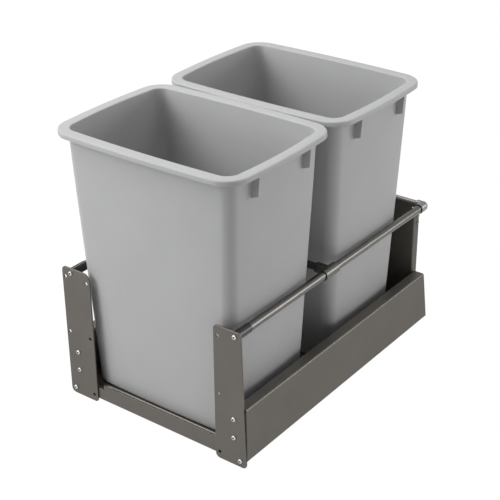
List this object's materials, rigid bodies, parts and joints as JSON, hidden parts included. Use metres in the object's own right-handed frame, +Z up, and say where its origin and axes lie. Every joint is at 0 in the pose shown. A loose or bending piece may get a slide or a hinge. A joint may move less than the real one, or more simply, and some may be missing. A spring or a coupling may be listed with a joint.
{
  "type": "pull-out waste bin unit",
  "caption": "Sheet-metal pull-out drawer frame with bins one behind the other, on floor-mounted telescopic runners, with plates for a cabinet door.",
  "frame": {"origin": "centre of the bounding box on the cabinet floor, with the drawer closed", "axes": "+X to the right across the width, -Y out of the cabinet towards the door, +Z up"},
  "size_m": [0.378, 0.5874, 0.4978],
  "materials": {
    "bin_plastic": "fine textured light grey",
    "frame_steel": "satin graphite powder coat",
    "rail_fitting": "metallic grey",
    "rail_tube": "metallic graphite",
    "plug_plastic": "glossy black moulding",
    "zinc_screw": "bright zinc",
    "rivet": "dull zinc",
    "runner_steel": "zinc plated",
    "ball_steel": "polished",
    "damper_plastic": "moulded grey"
  },
  "bodies": {
    "cabinet_side": {"floor_bracket_front_left": "runner_steel", "floor_bracket_rear_left": "runner_steel", "fixed_runner_left": "runner_steel", "runner_rivets_left": "rivet", "soft_close_housing_left": "damper_plastic", "damper_cylinder_left": "ball_steel", "damper_rod_left": "ball_steel", "soft_close_catch_left": "damper_plastic", "floor_bracket_front_right": "runner_steel", "floor_bracket_rear_right": "runner_steel", "fixed_runner_right": "runner_steel", "runner_rivets_right": "rivet", "soft_close_housing_right": "damper_plastic", "damper_cylinder_right": "ball_steel", "damper_rod_right": "ball_steel", "soft_close_catch_right": "damper_plastic"},
    "drawer": {"side_box_left": "frame_steel", "front_plate_left": "frame_steel", "gallery_rail_left": "rail_tube", "rail_plug_left": "plug_plastic", "rail_sleeve_left": "rail_tube", "rear_rail_elbow_left": "rail_fitting", "plate_screws_left": "zinc_screw", "box_nuts_left": "zinc_screw", "drawer_runner_left": "runner_steel", "drawer_runner_rivets_left": "rivet", "catch_pin_left": "rivet", "side_box_right": "frame_steel", "front_plate_right": "frame_steel", "gallery_rail_right": "rail_tube", "rail_plug_right": "plug_plastic", "rail_sleeve_right": "rail_tube", "rear_rail_elbow_right": "rail_fitting", "plate_screws_right": "zinc_screw", "box_nuts_right": "zinc_screw", "drawer_runner_right": "runner_steel", "drawer_runner_rivets_right": "rivet", "catch_pin_right": "rivet", "front_crossbar": "frame_steel", "base_pan": "frame_steel", "back_panel": "frame_steel", "rear_top_rail": "rail_fitting", "divider_bar": "rail_tube", "pan_rivets": "rivet", "back_panel_rivets": "rivet"},
    "middle_member_left": {"middle_runner_left": "runner_steel"},
    "outer_cage_left": {"outer_ball_cage_left": "runner_steel", "outer_balls_left": "ball_steel"},
    "inner_cage_left": {"inner_ball_cage_left": "runner_steel", "inner_balls_left": "ball_steel"},
    "middle_member_right": {"middle_runner_right": "runner_steel"},
    "outer_cage_right": {"outer_ball_cage_right": "runner_steel", "outer_balls_right": "ball_steel"},
    "inner_cage_right": {"inner_ball_cage_right": "runner_steel", "inner_balls_right": "ball_steel"},
    "front_bin": {"bin_front": "bin_plastic"},
    "rear_bin": {"bin_rear": "bin_plastic"}
  },
  "joints": [
    {"name": "drawer_slide", "type": "slide", "parent": "cabinet_side", "child": "drawer", "axis": [0, -1, 0], "range_m": [0, 0.5]},
    {"name": "middle_member_left_slide", "type": "slide", "parent": "cabinet_side", "child": "middle_member_left", "axis": [0, -1, 0], "range_m": [0, 0.25]},
    {"name": "outer_cage_left_slide", "type": "slide", "parent": "cabinet_side", "child": "outer_cage_left", "axis": [0, -1, 0], "range_m": [0, 0.125]},
    {"name": "inner_cage_left_slide", "type": "slide", "parent": "cabinet_side", "child": "inner_cage_left", "axis": [0, -1, 0], "range_m": [0, 0.375]},
    {"name": "middle_member_right_slide", "type": "slide", "parent": "cabinet_side", "child": "middle_member_right", "axis": [0, -1, 0], "range_m": [0, 0.25]},
    {"name": "outer_cage_right_slide", "type": "slide", "parent": "cabinet_side", "child": "outer_cage_right", "axis": [0, -1, 0], "range_m": [0, 0.125]},
    {"name": "inner_cage_right_slide", "type": "slide", "parent": "cabinet_side", "child": "inner_cage_right", "axis": [0, -1, 0], "range_m": [0, 0.375]},
    {"name": "front_bin_lift", "type": "slide", "parent": "drawer", "child": "front_bin", "axis": [0, 0, 1], "range_m": [0, 0.3]},
    {"name": "rear_bin_lift", "type": "slide", "parent": "drawer", "child": "rear_bin", "axis": [0, 0, 1], "range_m": [0, 0.3]}
  ],
  "couplings": [
    {"joint": "middle_member_left_slide", "follows": "drawer_slide", "ratio": 0.5},
    {"joint": "outer_cage_left_slide", "follows": "drawer_slide", "ratio": 0.25},
    {"joint": "inner_cage_left_slide", "follows": "drawer_slide", "ratio": 0.75},
    {"joint": "middle_member_right_slide", "follows": "drawer_slide", "ratio": 0.5},
    {"joint": "outer_cage_right_slide", "follows": "drawer_slide", "ratio": 0.25},
    {"joint": "inner_cage_right_slide", "follows": "drawer_slide", "ratio": 0.75}
  ]
}
